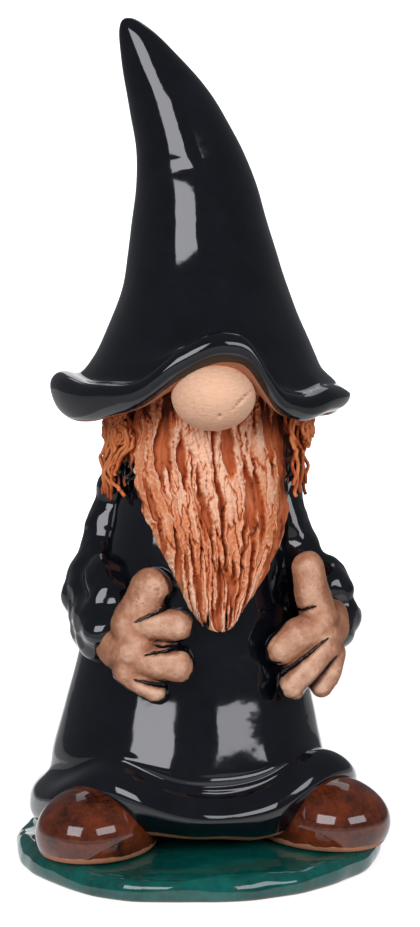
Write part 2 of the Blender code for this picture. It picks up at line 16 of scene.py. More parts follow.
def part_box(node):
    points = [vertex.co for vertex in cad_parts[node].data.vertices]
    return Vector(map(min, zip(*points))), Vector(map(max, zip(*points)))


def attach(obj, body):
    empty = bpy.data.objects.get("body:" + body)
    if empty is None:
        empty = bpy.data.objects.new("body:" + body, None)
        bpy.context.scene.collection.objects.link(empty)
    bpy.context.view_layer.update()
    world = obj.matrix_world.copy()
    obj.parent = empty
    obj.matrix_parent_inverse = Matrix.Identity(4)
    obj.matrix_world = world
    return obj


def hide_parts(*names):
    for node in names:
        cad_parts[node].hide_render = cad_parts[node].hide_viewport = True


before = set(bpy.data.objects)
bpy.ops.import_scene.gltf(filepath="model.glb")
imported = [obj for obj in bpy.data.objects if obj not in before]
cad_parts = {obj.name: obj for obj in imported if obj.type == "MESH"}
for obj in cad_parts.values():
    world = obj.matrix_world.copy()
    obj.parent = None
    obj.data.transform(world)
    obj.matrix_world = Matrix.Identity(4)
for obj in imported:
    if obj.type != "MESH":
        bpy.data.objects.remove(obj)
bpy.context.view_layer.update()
MM = 0.001

# %% [markdown]
# ## Working by hand, in code
#
# An operator works on what is selected, so each step starts by picking one object and nothing else.
# Modifiers are applied at once, as a potter finishes one stage before the next. For the last touches we
# move vertices directly, which is what a sculpting brush does.

# %% Pick, apply and sculpt
def pick(obj):
    """Select obj alone and make it the active object."""
    bpy.ops.object.select_all(action="DESELECT")
    obj.select_set(True)
    bpy.context.view_layer.objects.active = obj


def added(name, primitive, **settings):
    """Add a primitive with nothing else selected, and name it."""
    bpy.ops.object.select_all(action="DESELECT")
    primitive(**settings)
    obj = bpy.context.object
    obj.name = obj.data.name = name
    return obj


def linked(name, data):
    """A new object that shows this data in the scene."""
    obj = bpy.data.objects.new(name, data)
    bpy.context.scene.collection.objects.link(obj)
    return obj


def apply_modifier(obj, kind, **settings):
    """Add a modifier with these settings and apply it."""
    pick(obj)
    modifier = obj.modifiers.new(kind.lower(), kind)
    for key, value in settings.items():
        setattr(modifier, key, value)
    bpy.ops.object.modifier_apply(modifier=modifier.name)


def points_of(obj):
    """The vertices of obj and their normals, as two arrays."""
    count = len(obj.data.vertices)
    points, normals = np.empty(count * 3), np.empty(count * 3)
    obj.data.vertices.foreach_get("co", points)
    obj.data.vertex_normals.foreach_get("vector", normals)
    return points.reshape(-1, 3), normals.reshape(-1, 3)


def sculpt(obj, brush):
    """Move all vertices: brush takes points and normals, and gives the new points."""
    points, normals = points_of(obj)
    obj.data.vertices.foreach_set("co", brush(points, normals).ravel())
    obj.data.update()


def wander(points, size, seed):
    """Smooth random values from -1 to 1 that change over this distance."""
    shift = Vector((7.3 * seed, 3.1 * seed, 5.7 * seed))
    return np.array([noise.noise(Vector(p) / size + shift) for p in points])


def hill(values, centre, spread):
    """A smooth hill of height 1 at centre."""
    return np.exp(-(((values - centre) / spread) ** 2))


def ease(values, low, high):
    """0 below low, 1 above high, and a smooth step between."""
    t = np.clip((values - low) / (high - low), 0, 1)
    return t * t * (3 - 2 * t)


def mark(obj, name, values):
    """Store one number for each vertex, for a material to read."""
    attribute = obj.data.attributes.new(name, "FLOAT", "POINT")
    attribute.data.foreach_set("value", np.asarray(values, np.float32))


def mark_relief(obj, rounds, depth, front_highlight=0.0):
    """Store how far each vertex stands out, from -1 in a groove to 1 on a ridge, plus any painted highlight.
    """
    points, normals = points_of(obj)
    ends = np.empty(len(obj.data.edges) * 2, np.int32)
    obj.data.edges.foreach_get("vertices", ends)
    a, b = ends.reshape(-1, 2).T
    links = np.bincount(ends, minlength=len(points))[:, None]
    flat = points.copy()
    for _ in range(rounds):
        total = np.stack(
            [
                np.bincount(a, flat[b, i], len(points)) + np.bincount(b, flat[a, i], len(points))
                for i in range(3)
            ],
            axis=1,
        )
        flat = (flat + total / links) / 2
    height = ((points - flat) * normals).sum(1) / depth
    mark(obj, "relief", np.clip(height + front_highlight, -1, 1))


def curve_through(table, at):
    """The values at these keys on a smooth curve through a table of (key, value)."""
    keys, values = np.array(table, float).T
    slopes = np.gradient(values, keys)
    i = np.clip(np.searchsorted(keys, at) - 1, 0, len(keys) - 2)
    span = keys[i + 1] - keys[i]
    t = np.clip((at - keys[i]) / span, 0, 1)
    start = values[i] * (1 + 2 * t) * (1 - t) ** 2 + slopes[i] * span * t * (1 - t) ** 2
    return start + values[i + 1] * t**2 * (3 - 2 * t) + slopes[i + 1] * span * t**2 * (t - 1)


print("helpers ready")

# %% [markdown]
# ## Raising a form ring by ring
#
# The robe and the hat are round and hollow, like a pot on a wheel. We add one circle, and then extrude its
# edge, move it and resize it, ring after ring. A list of rings is easy to read against the photograph: each
# ring is a height, a middle and two half-widths, all in millimetres.

# %% The wheel
def thrown(name, rings, corners=72):
    """A skin through rings (z, x, y, half width, half depth) in millimetres, capped at both ends."""
    z, x, y, half_width, half_depth = (v * MM for v in rings[0])
    middle = (x, y, z)
    obj = added(name, bpy.ops.mesh.primitive_circle_add, vertices=corners, radius=1, location=middle)
    obj.scale = (half_width, half_depth, 1)
    bpy.ops.object.transform_apply(location=True, rotation=True, scale=True)
    bpy.ops.object.mode_set(mode="EDIT")
    bpy.ops.mesh.select_all(action="SELECT")
    for low, high in zip(rings, rings[1:]):
        shift = [(high[i] - low[i]) * MM for i in (1, 2, 0)]
        bpy.ops.mesh.extrude_edges_move(TRANSFORM_OT_translate={"value": shift})
        bpy.ops.transform.resize(
            value=(high[3] / low[3], high[4] / low[4], 1),
            center_override=[high[i] * MM for i in (1, 2, 0)],
        )
    bpy.ops.mesh.edge_face_add()
    bpy.ops.mesh.select_all(action="DESELECT")
    bpy.ops.mesh.select_non_manifold()
    bpy.ops.mesh.edge_face_add()
    bpy.ops.mesh.select_all(action="SELECT")
    bpy.ops.mesh.normals_make_consistent(inside=False)
    bpy.ops.object.mode_set(mode="OBJECT")
    return obj


def smoothed(obj, levels=2):
    """Round the facets off with subdivision, and shade the result smooth."""
    apply_modifier(obj, "SUBSURF", levels=levels, render_levels=levels)
    obj.data.shade_smooth()


def dented(obj, strength, size, name):
    """The slow unevenness that hands leave in clay, from a cloud pattern pushed along the normals."""
    clouds = bpy.data.textures.new(name, "CLOUDS")
    clouds.noise_scale = size
    clouds.noise_depth = 1
    apply_modifier(
        obj, "DISPLACE", texture=clouds, strength=strength, mid_level=0.5, texture_coords="LOCAL"
    )


def put(obj, node, body="figure"):
    """Let a piece stand for its solid: ride on its body, hide the solid and print how far past it the piece
    reaches.
    """
    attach(obj, body)
    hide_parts(node)
    low, high = (np.array(c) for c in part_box(node))
    points, _ = points_of(obj)
    off = np.concatenate([points.min(0) - low, points.max(0) - high]) / MM
    print(f"{obj.name}: {len(obj.data.polygons)} faces, past its solid by", np.round(off, 1), "mm")


# %% [markdown]
# ## The robe
#
# The robe is a slab of clay wrapped into a hollow cone. Its lower edge is turned out into a fat roll, and
# the roll is pushed up where it lies over the shoes. The body's half-widths shrink smoothly from the hem to
# the neck, and the other pieces ask the same function where the robe's surface is. The rings start high
# inside, run down the wall and round the foot, and climb up again outside.

# %% The body's surface
FLOOR = 9.8
ROBE_HEIGHT = 155.0
NECK_WIDTH, NECK_DEPTH = 29, 27
FLARE_WIDTH, FLARE_DEPTH, TAPER = 33.5, 26.5, 1.15
HEM_X, BODY_Y = -5.5, 4.0


def body_share(z):
    """How far up the robe a height is, from 0 at its foot to 1 at its neck."""
    return np.clip((z - FLOOR) / ROBE_HEIGHT, 0, 1)


def body_halves(z):
    """Half the width and half the depth of the robe and the head, in millimetres."""
    flare = (1 - body_share(z)) ** TAPER
    return NECK_WIDTH + FLARE_WIDTH * flare, NECK_DEPTH + FLARE_DEPTH * flare


def body_x(z):
    """The robe's middle, which stands a little to the gnome's right at the hem."""
    return HEM_X * (1 - body_share(z))


def on_body(angle, z, out):
    """A point this far out from the robe, at an angle in degrees: 0 is the front and 90 the gnome's left."""
    width, depth = body_halves(z)
    a = np.radians(angle)
    return np.stack(
        [body_x(z) + (width + out) * np.sin(a), BODY_Y - (depth + out) * np.cos(a), z * np.ones_like(a)],
        axis=-1,
    )


def off_body(mm):
    """How far points in millimetres lie off the robe's plain cone."""
    width, depth = body_halves(mm[:, 2])
    x, y = mm[:, 0] - body_x(mm[:, 2]), mm[:, 1] - BODY_Y
    reach = np.maximum(np.hypot(x / width, y / depth), 0.01)
    return (1 - 1 / reach) * np.hypot(x, y)


print("the neck's half-width is", body_halves(FLOOR + ROBE_HEIGHT)[0], "mm")

# %% The robe
SHOE_ANGLES, SHOE_SPREAD = (-34, 64), 23
# Rings of the robe: a height, and how far out from the body's plain cone
WALL = ((155, -22), (152, -13), (115, -12), (70, -12), (40, -12.5), (16, -14.5), (11, -14))
HEM = (
    (9.9, -13), (9.9, -9.5), (10.8, -6), (13.2, -1.4), (16.2, 2.6), (19.6, 5.1), (23.2, 6.2), (26.4, 5.6),
    (28.8, 3.8), (30.6, 1.7), (32.1, 0.2), (33.6, -0.8), (35.4, -1.1), (37.6, -0.9), (40, -0.4), (43, 0),
    (52, 0),
)
CONE = tuple((z, 0) for z in range(62, 160, 11)) + ((163, -0.2), (164.5, -1.2), (164.6, -3), (164.6, -8))
# How far the front bulges at each height
FRONT = (
    (10, 0), (26, 0), (32, 0.9), (37, 1.2), (44, 0.64), (54, -0.16), (60, -0.62), (64, -0.9), (68, -1.05),
    (74, -0.85), (84, -0.05), (94, 0.75), (104, 1.4), (115, 1.9), (128, 1.8), (142, 0.6), (155, 0), (165, 0),
)
# The most that each touch moves the clay, in millimetres
SHOE_LIFT, FRONT_LIFT, CHEST_TILT = 11.5, 5, 1.4
LOBE, HOLLOW, FOLD, HEM_WAVER = 5.0, 2.2, 0.25, 1.1


def robe_brush(points, normals):
    """Push the hem up over the shoes, and the front, the sides and the folds in and out."""
    mm = points / MM
    z = mm[:, 2].copy()
    angle = np.degrees(np.arctan2(mm[:, 0] - body_x(z), BODY_Y - mm[:, 1]))
    low = 1 - ease(z, 30, 52)
    over_shoes = sum(hill(angle, a, SHOE_SPREAD) for a in SHOE_ANGLES)
    lift = SHOE_LIFT * over_shoes * low * (0.4 + 0.6 * ease(z, 10, 24))
    lift += FRONT_LIFT * hill(angle, 2, 34) * (1 - ease(z, 10, 34))
    front = curve_through(FRONT, z) * hill(angle, 8, 62)
    front += CHEST_TILT * ease(z, 108, 132) * (1 - ease(z, 138, 154)) * hill(angle, -32, 18)
    lobe = hill(angle, 84, 24) * hill(z, 27, 8) * LOBE - hill(angle, -88, 26) * hill(z, 22, 8) * HOLLOW
    creased = ease(z, 30, 33) * (1 - ease(z, 37, 41)) * hill(angle, 20, 26)
    folds = np.cos((z - 34) * 1.7) * creased * FOLD
    waver = wander(points, 20 * MM, 3) * HEM_WAVER * low
    mm += normals * (front + lobe + folds + waver)[:, None]
    mm[:, 2] += lift
    return mm * MM


robe_rings = []
for z, out in WALL + HEM + CONE:
    width, depth = body_halves(z)
    robe_rings.append((z, float(body_x(z)), BODY_Y, width + out, depth + out))
robe = thrown("glazed_robe", robe_rings)
smoothed(robe)
points, _ = points_of(robe)
foot = 1 - ease(points[:, 2] / MM, 11.4, 13.6)
inside = 1 - ease(off_body(points / MM), -10.5, -9)
sculpt(robe, robe_brush)
dented(robe, 0.6 * MM, 24 * MM, "robe_dents")
mark(robe, "bare", np.maximum(foot, inside))
put(robe, "robe")

# %% [markdown]
# ## The hat
#
# The hat is one hollow horn. From the side of the head it runs out under the brim, turns round a fat lip,
# dips behind it and climbs up the leaning crown to a blunt tip. Afterwards the brim is bent up over the
# nose and down beside it, as it was when the clay was still wet.

# %% The hat's rings
BRIM = 188.3
HAT_X, HAT_Y = 3.0, 4.0
HORN_FLATTER, BRIM_FLATTER = 0.18, 0.03
# Rings of the hat: a height over the brim, a middle and a half-width
INSIDE = [(98, -5.5, 11), (75, 0, 18), (45, 2.2, 25), (22, 3, 33.5)]
LIP = [
    (8, 3, 39.5), (-1.5, 3, 44), (-4.6, 3, 48.5), (-5.4, 3, 53), (-5.0, 3, 56.5), (-2.8, 3, 59.4),
    (0.6, 3, 60.4), (3.8, 3, 59.1), (5.6, 3, 56.4), (5.4, 3, 53.8), (4.6, 3, 51.6), (5.4, 3, 49.2),
    (8.6, 3, 46.6), (13.6, 3, 43.6),
]
CROWN = [
    (19, 3, 41.2), (28.5, 3.2, 37.1), (38, 3.1, 33.4), (47.6, 2.2, 30.9), (57, 1.5, 29), (66.7, 0.6, 27.1),
    (76.3, 0, 25), (85.7, -1.4, 22.8), (95.5, -3.7, 20.9), (105, -7.2, 19.3), (114.7, -11.1, 17.1),
    (124.2, -16.1, 14), (133.7, -21, 10.1), (138.5, -23.6, 7.8), (141.8, -25.6, 5.4), (143.8, -26.7, 3.3),
    (144.6, -27.1, 1.2),
]
# How far the brim bends up at each angle, and how far the horn leans back at each height
BEND = (
    (-180, -4), (-131, -8), (-90, -0.8), (-45, -4.6), (-26, -2.8), (-9, 8), (8, 14), (17, 11.3), (24, 2),
    (30, -5.5), (39, -9), (60, -6), (90, -4.6), (110, -8), (135, -9), (180, -4),
)
LEAN = ((-15, 0), (10, 0), (30, 1.2), (55, 3.0), (80, 3.0), (110, 0), (146, -7))
# The lip's swell and the wing's slope are shares, and the rest is in millimetres
LIP_SWELL, WING_SLOPE, WING_TOP, DIP = 1.3, 0.6, 9.4, 45.5
RIGHT_END, LEFT_END, RIDGE, PRESS, BRIM_WAVER = 1.6, 2.2, 2.2, 0.9, 1.2


def hat_brush(points, normals):
    """Bend the brim up and down, fatten its right end, flatten its left wing and lean the horn."""
    mm = points / MM
    x, y, rise = mm[:, 0] - HAT_X, mm[:, 1] - HAT_Y, mm[:, 2] - BRIM
    angle = np.degrees(np.arctan2(x, -y))
    reach = np.hypot(x, y)
    bent = ease(reach, 37, 56) * (1 - ease(rise, 9, 26))
    fat = 1 + LIP_SWELL * hill(angle, -68, 32) * (rise < 0) * ease(reach, 43, 50)
    wing = hill(angle, 98, 42) * ease(reach, 44, 48) * (rise > 0)
    shaped = rise * fat + wing * (WING_TOP - WING_SLOPE * (reach - DIP) - rise)
    mm[:, 2] = BRIM + shaped + curve_through(BEND, angle) * bent
    right_end = RIGHT_END * hill(angle, -90, 35) * ease(reach, 48, 58)
    left_end = LEFT_END * hill(angle, 90, 30) * ease(reach, 50, 58)
    mm[:, 0] -= right_end + left_end
    mm[:, 1] += curve_through(LEAN, rise)
    ridge = hill(reach, DIP, 2.6) * hill(angle, -4, 40) * (rise > 3) * RIDGE
    thumb = hill(mm[:, 2], 273, 4) * hill(angle, -28, 24) * PRESS
    mm += normals * (ridge - thumb + wander(points, 30 * MM, 5) * BRIM_WAVER * bent)[:, None]
    return mm * MM


hat_rings = []
for rise, x, half in INSIDE + LIP + CROWN:
    deep = 1 - HORN_FLATTER * float(ease(np.array(rise), 100, 130)) - BRIM_FLATTER * (half > 43)
    hat_rings.append((BRIM + rise, x, HAT_Y, half, half * deep))
hat = thrown("glazed_hat", hat_rings, corners=80)
smoothed(hat)
points, normals = points_of(hat)
spread = points[:, :2] / MM - (HAT_X, HAT_Y)
reach = np.hypot(*spread.T)
inward = (spread * normals[:, :2]).sum(1) < 0
below = points[:, 2] / MM < BRIM + 24
right_end = hill(np.degrees(np.arctan2(spread[:, 0], -spread[:, 1])), -75, 30)
glazed = ease(reach - 2.5 * right_end, 52.5, 54.5)
under = below * np.maximum((normals[:, 2] < 0.1) * (1 - glazed), inward * (reach < 50))
sculpt(hat, hat_brush)
dented(hat, 1.3 * MM, 32 * MM, "hat_dents")
mark(hat, "bare", np.clip(under, 0, 1))
put(hat, "hat")

# %% [markdown]
# ## The plate
#
# The plate was cut freehand from a rolled slab and its edge pressed down with a thumb, so its outline
# wavers and its rim is rounded. Its solid has the outline: we read the radius at each degree from it, take
# the corners out with a Fourier filter, and throw a disc with a round rim that follows it.

# %% The plate
def smooth_outline(node, waves):
    """The radius of a flat solid for each degree, from the front towards the gnome's left, in millimetres."""
    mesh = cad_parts[node].data
    corners = np.empty(len(mesh.vertices) * 3)
    mesh.vertices.foreach_get("co", corners)
    corners = corners.reshape(-1, 3) / MM
    radius = np.hypot(corners[:, 0], corners[:, 1])
    rim = corners[radius > 0.985 * np.percentile(radius, 60)]
    angle = np.degrees(np.arctan2(rim[:, 0], -rim[:, 1]))
    order = np.argsort(angle)
    round_rim = np.interp(np.arange(360), angle[order], np.hypot(*rim[order, :2].T), period=360)
    parts = np.fft.rfft(round_rim)
    parts[waves:] = 0
    return np.fft.irfft(parts, 360)


# Rings of the plate: a height, and a share of its radius in percent
RIM = (
    (0, 30), (0, 92), (0.1, 96.8), (0.6, 98.8), (2.0, 99.8), (4.4, 100), (6.6, 99.4), (8.4, 97.6), (9.4, 95),
    (9.6, 91), (9.4, 86), (9.4, 78), (9.4, 66), (9.4, 30),
)
outline = smooth_outline("base_plate", waves=11)
PLATE_FRONT = 2.2


def plate_brush(points, normals):
    """Give the round disc the plate's outline, with a wavering edge and a pressed rim."""
    mm = points / MM
    angle = np.degrees(np.arctan2(mm[:, 0], -mm[:, 1]))
    reach = np.hypot(mm[:, 0], mm[:, 1]) / 100
    place = np.c_[mm[:, :2] * 0.7, mm[:, 2]] * MM
    rim = ease(reach, 0.84, 0.97)
    radius = np.interp(angle % 360, np.arange(360), outline, period=360)
    radius = radius + PLATE_FRONT * rim * hill(angle, -4, 44)
    radius = radius + rim * (0.9 * wander(place, 12 * MM, 8) + 1.0 * wander(place, 26 * MM, 9))
    mm[:, :2] *= (radius / 100)[:, None]
    press = 1.2 * wander(place, 15 * MM, 4) + 0.4 * wander(place, 6 * MM, 7) - 0.2
    press = rim * press + 0.25 * wander(place, 9 * MM, 6)
    mm[:, 2] += press * ease(mm[:, 2], 5, 9)
    return mm * MM


plate = thrown("glazed_plate", [(z, 0, 0, reach, reach) for z, reach in RIM], corners=96)
smoothed(plate)
sculpt(plate, plate_brush)
mark_relief(plate, 60, 0.35 * MM)
points, _ = points_of(plate)
mark(plate, "bare", 1 - ease(points[:, 2] / MM, 0.2, 1.2))
put(plate, "base_plate", "plate")

# %% [markdown]
# ## The shoes
#
# Each shoe is a ball of clay pulled into an egg and pressed flat on the bench. A sphere is stretched to the
# size of the shoe, turned to its heading, and its lower part is squeezed onto the plate.

# %% A pair of shoes
HALF_LENGTH, HALF_WIDTH, SHOE_HEIGHT = 29.6, 20.8, 26.3
SOLE, BENCH = -0.42, -0.44


def shoe(name, heading, seed):
    """An egg in the middle of its solid, turned to its heading and flat below the sole."""
    low, high = (np.array(c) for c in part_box(name))
    middle = (low + high) / 2
    obj = added("glazed_" + name, bpy.ops.mesh.primitive_uv_sphere_add, segments=48, ring_count=32, radius=1)
    turn = math.radians(heading)

    def brush(points, normals):
        along, across, up = -points[:, 1], points[:, 0], points[:, 2]
        length, width = HALF_LENGTH * MM, HALF_WIDTH * MM * (1 + 0.16 * along)
        flat = np.where(up < SOLE, SOLE + (up - SOLE) * 0.02, up)
        tall = (flat - BENCH) / (1 - BENCH) * (SHOE_HEIGHT + 1.5 * along) * MM
        a, b = along * length, across * width
        wave = 1 + 0.03 * wander(points, 0.9, seed)
        x = (b * math.cos(turn) + a * math.sin(turn)) * wave
        y = (b * math.sin(turn) - a * math.cos(turn)) * wave
        return np.stack([middle[0] + x, middle[1] + y, FLOOR * MM + tall], axis=1)

    sculpt(obj, brush)
    smoothed(obj)
    points, _ = points_of(obj)
    ragged = points[:, 2] / MM - FLOOR + 0.7 * wander(points, 3 * MM, seed)
    mark(obj, "bare", 1 - ease(ragged, 2.2, 3.2))
    put(obj, name)
    return obj


shoes = [shoe("shoe_right", -32, 2), shoe("shoe_left", 52, 6)]

# %% [markdown]
# ## Sleeves and hands
#
# A hand starts as balls of clay in a row for each finger, pressed into one lump. We do the same: spheres
# along a line, joined, then remeshed into one skin and smoothed, which leaves soft creases where two
# fingers meet. The sleeves are made the same way from bigger balls, so that folds and bulges appear by
# themselves.

# %% Lumps of clay
BALL_STEP = 1.6


def lump(name, rows, voxel, rounds):
    """Rows of balls pressed together: a row runs through points (x, y, z, radius), in millimetres."""
    balls = []
    for row in rows:
        for start, end in zip(row, row[1:]):
            steps = max(2, int(np.linalg.norm(np.subtract(end, start)[:3]) / BALL_STEP))
            for i in range(steps + 1):
                x, y, z, radius = np.array(start) + (np.array(end) - np.array(start)) * i / steps
                bpy.ops.object.select_all(action="DESELECT")
                bpy.ops.mesh.primitive_ico_sphere_add(
                    subdivisions=3, radius=radius * MM, location=(x * MM, y * MM, z * MM)
                )
                balls.append(bpy.context.object)
    for ball in balls:
        ball.select_set(True)
    bpy.ops.object.transform_apply(location=True, rotation=True, scale=True)
    bpy.ops.object.join()
    obj = bpy.context.object
    obj.name = obj.data.name = name
    apply_modifier(obj, "REMESH", mode="VOXEL", voxel_size=voxel * MM)
    apply_modifier(obj, "SMOOTH", factor=0.5, iterations=rounds)
    obj.data.shade_smooth()
    return obj


# %% Sleeves
sleeve_right = lump(
    "glazed_sleeve_right",
    [
        [(-33, 5, 146, 8.5), (-34.5, 5, 137, 9.3), (-37, 3, 126, 9.4), (-39.6, 0, 115, 11.4)]
        + [(-41.8, -3, 106, 12.6)],
        [(-41.8, -3, 106, 12.4), (-40, -11, 99, 12), (-36.5, -20, 96, 11.4), (-34, -26, 95, 10.4)],
        [(-43, -6, 99, 9), (-41.5, -14, 91.5, 8.6), (-38, -22, 88.5, 8)],
        [(-36, -14, 113, 9.5), (-33, -21, 105, 9), (-34, -24, 98, 9)],
    ],
    voxel=1.0,
    rounds=5,
)
sleeve_left = lump(
    "glazed_sleeve_left",
    [
        [(33, 5, 146, 8.8), (34.5, 5, 137, 9.3), (37, 4, 126, 9.8), (40, 2, 117, 11)],
        [(43, 1, 114, 9.6), (49, -2, 109, 10.6), (51, -7, 107, 10)],
        [(45, 2, 104, 10), (53.2, -4, 96.5, 11.3), (51, -10, 92, 10.5)],
    ],
    voxel=1.0,
    rounds=5,
)
for sleeve, side in ((sleeve_right, "right"), (sleeve_left, "left")):
    dented(sleeve, 4.0 * MM, 17 * MM, f"sleeve_{side}_folds")
    dented(sleeve, 2.4 * MM, 8 * MM, f"sleeve_{side}_creases")
    apply_modifier(sleeve, "SMOOTH", factor=0.5, iterations=9)
    put(sleeve, f"sleeve_{side}")

# %% [markdown]
# The fingers of a hand lie close together, parted by knife cuts. Glaze has run over the robe, round the
# hands and into the cuts. So each hand gets cuts that open from the palm outwards, and it stores how far
# the glaze covers it: at the bottom of each cut, and wherever the clay lies close to the robe. Its sides
# that turn away from the front are blackened as well, partly as run glaze and partly as painted shade, and
# the clay that faces the front is painted paler, as a highlight. The right thumb is crazed with dry cracks.

# %% Hands
hand_right = lump(
    "clay_hand_right",
    [
        [(-32, -25, 88, 8.2), (-29, -31, 87.5, 9.4), (-24, -35, 87, 9.6)],
        [(-25.5, -34.5, 97, 7.8), (-23, -35, 89, 9), (-25, -35, 80, 8)],
        [(-25, -34, 99, 7.6), (-20.5, -35, 105.5, 7.8), (-17.8, -35.5, 110.8, 8.2)],
        [(-22, -36.5, 97.2, 6.8), (-14, -39.5, 97.6, 7), (-7.8, -40.2, 97, 6.6)],
        [(-22, -37, 84, 7.2), (-14, -40, 83, 7.4), (-7.6, -40.6, 82.2, 7.1)],
        [(-26, -35.5, 79, 6.5), (-20.5, -37.5, 74.8, 5.8), (-15.6, -38, 71.6, 5)],
    ],
    voxel=0.55,
    rounds=7,
)
hand_left = lump(
    "clay_hand_left",
    [
        [(51, -13, 97, 8.5), (50, -20, 94, 9), (48, -24.5, 91, 8.8)],
        [(49, -24, 84, 7.2), (47, -25, 97, 7.8)],
        [(46.5, -25, 100, 7), (44, -25.5, 110, 6.8), (42.5, -25.5, 117.5, 6.5)],
        [(47, -26, 95, 7.2), (38, -29.5, 91, 7.2), (32, -30.5, 86.8, 6.8)],
        [(49, -26.5, 87, 6.8), (42, -29.5, 79, 6.9), (36.5, -30, 73, 6.4)],
        [(52, -23.5, 84, 5.6), (50.5, -25, 77, 5.4), (48, -26, 71.5, 4.8)],
    ],
    voxel=0.55,
    rounds=7,
)
CUTS_RIGHT = ((-24, 98.6, -8, 105.5), (-19.5, 86.5, 1, 90.5), (-24, 76.6, -10, 73))
CUTS_LEFT = ((45.5, 103.4, 30, 98), (50, 91, 29, 74), (54, 84, 41.5, 69.5))


def knife(mm, x1, z1, x2, z2):
    """How far each point lies from a cut, seen from the front, and how far along the cut, 0 at the palm."""
    way = np.array([x2 - x1, z2 - z1])
    off = mm[:, (0, 2)] - (x1, z1)
    along = np.clip(off @ way / (way @ way), 0, 1)
    return np.hypot(*(off - along[:, None] * way).T), along


THUMB = (-18, 107)
for hand, side, cuts in ((hand_right, "right", CUTS_RIGHT), (hand_left, "left", CUTS_LEFT)):
    dented(hand, 1.2 * MM, 9 * MM, f"hand_{side}_dents")
    dented(hand, 0.3 * MM, 1.9 * MM, f"hand_{side}_skin")
    points, normals = points_of(hand)
    mm = points / MM
    ragged = 0.35 * wander(mm, 1.6, 4) + 0.5 * wander(mm, 5, 6)
    deep, dark = np.zeros(len(mm)), np.zeros(len(mm))
    for cut in cuts:
        away, along = knife(mm + ragged[:, None] * (0.5, 0, 1), *cut)
        deep = np.maximum(deep, (0.8 + 3.6 * along) * hill(away, 0, 0.5 + 1.3 * along) * ease(along, 0, 0.1))
        dark = np.maximum(dark, hill(away, 0, 0.5 + 0.7 * along))
    on_thumb = hill(np.hypot(*(mm[:, (0, 2)] - THUMB).T), 0, 9) * ease(wander(mm, 4, 14), -0.15, 0.25)
    crazed = hill(wander(mm * (1, 1, 1.8), 2.6, 12), 0, 0.07) * on_thumb
    deep = np.maximum(deep, 0.6 * crazed)
    front = ease(-normals[:, 1], -0.4, 0.1)
    sculpt(hand, lambda p, n: p + np.outer(deep * front, (0, MM, 0)))
    off = off_body(mm) + 1.5 * wander(mm, 6, 5)
    near = 1 - ease(off, 2.5, 6.0)
    # The sides that turn away from the front are blackened near the robe: partly glaze that ran round the
    # hands, partly painted shade.
    sides = ease(normals[:, 1] + 0.2 * wander(mm, 4, 7), -0.74, -0.42) * (1 - ease(off, 8, 13))
    dark_sides = sides * (1 - ease(np.abs(mm[:, 0] - 3), 31, 41))
    glaze_and_shade = np.maximum.reduce([near, dark_sides, ease(dark, 0.35, 0.8), 0.3 * crazed])
    mark(hand, "glaze", np.clip(glaze_and_shade, 0, 1))
    # Painted highlight: the clay that faces the front is paler and the rest darker, and the broad relief
    # paints the knuckles paler.
    paler = 0.6 * ease(-normals[:, 1], 0.6, 1.0) - 0.45
    mark_relief(hand, 40, 0.9 * MM, front_highlight=paler)
    put(hand, f"hand_{side}")

# %% [markdown]
# ## The nose
#
# The nose is a ball of clay, slightly flattened, stuck on last. A small gouge and a pit were left in it, so
# we press them in after the sphere has been subdivided finely enough to hold them.

# %% The nose
low, high = (np.array(c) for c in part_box("nose"))
nose_middle, nose_halves = (low + high) / 2, (high - low) / 2
GOUGE_X, GOUGE_Z = 17, 183
PIT_X, PIT_Z = 8.5, 176.8


def nose_brush(points, normals):
    """Swell the ball to its solid's size and press in the gouge, the pit and the marks of grog."""
    swell = 1.02 + 0.04 * wander(points, 1.1, 4)
    shaped = nose_middle + points * swell[:, None] * nose_halves
    mm = shaped / MM
    slope = (mm[:, 0] - GOUGE_X) - 1.1 * (mm[:, 2] - GOUGE_Z)
    gouge = hill(slope, 0, 1.0) * hill(mm[:, 0], GOUGE_X, 3.2) * (0.6 + 0.8 * wander(points, 0.07, 8))
    pit = hill(mm[:, 0], PIT_X, 0.7) * hill(mm[:, 2], PIT_Z, 0.6)
    scuff = wander(points * (1, 1, 2.5), 0.16, 6) * 0.12
    grog = np.clip(wander(points, 0.04, 3) - 0.42, 0, 1)
    press = (1.1 * gouge + 0.8 * pit) * (points[:, 1] < 0) + 0.4 * grog + scuff
    return shaped - normals * (press * MM)[:, None]


nose = added("clay_nose", bpy.ops.mesh.primitive_uv_sphere_add, segments=96, ring_count=64, radius=1)
smoothed(nose, levels=1)
sculpt(nose, nose_brush)
mark_relief(nose, 10, 0.3 * MM)
put(nose, "nose")

# %% [markdown]
# ## The beard
#
# The beard is a slab of clay dragged from top to bottom with a blunt tool while half dry. It smears into
# long patches, tears at their edges and cracks between them. A fine grid gives enough vertices for that:
# each one is laid on the robe at the beard's thickness, then raised on the smears and pushed in at the
# cracks. All the patterns are noise stretched along the strokes, and the strokes draw together towards the
# tip. Last, the border is drawn back into the robe and closed.

# %% The beard
# The beard's middle and its half-width at each height
BEARD_MIDDLE = (
    (93, 7.8), (97, 7.8), (101, 7.6), (111, 8.5), (121, 8.8), (139, 7.4), (158, 4.9), (171, 4.3), (195, 3.5),
)
BEARD_HALF = (
    (94.2, 1.4), (95, 4.2), (97, 6.4), (101, 9.4), (111, 15.8), (121, 20.8), (139, 28.4), (158, 29.8),
    (171, 29), (195, 27),
)
BEARD_TOP, BEARD_TIP = 194.3, 94.4
BEARD_THICKNESS, TIP_THINNER = 8.6, 2.6
TIP_CUTS = (3.0, 10.0)
ACROSS, DOWN = 270, 310


def flecks(x, z, across, down, seed):
    """Noise on the beard's front, stretched to these sizes across and down."""
    return wander(np.stack([x / across, z / down, 0 * x], axis=1), 1.0, seed)


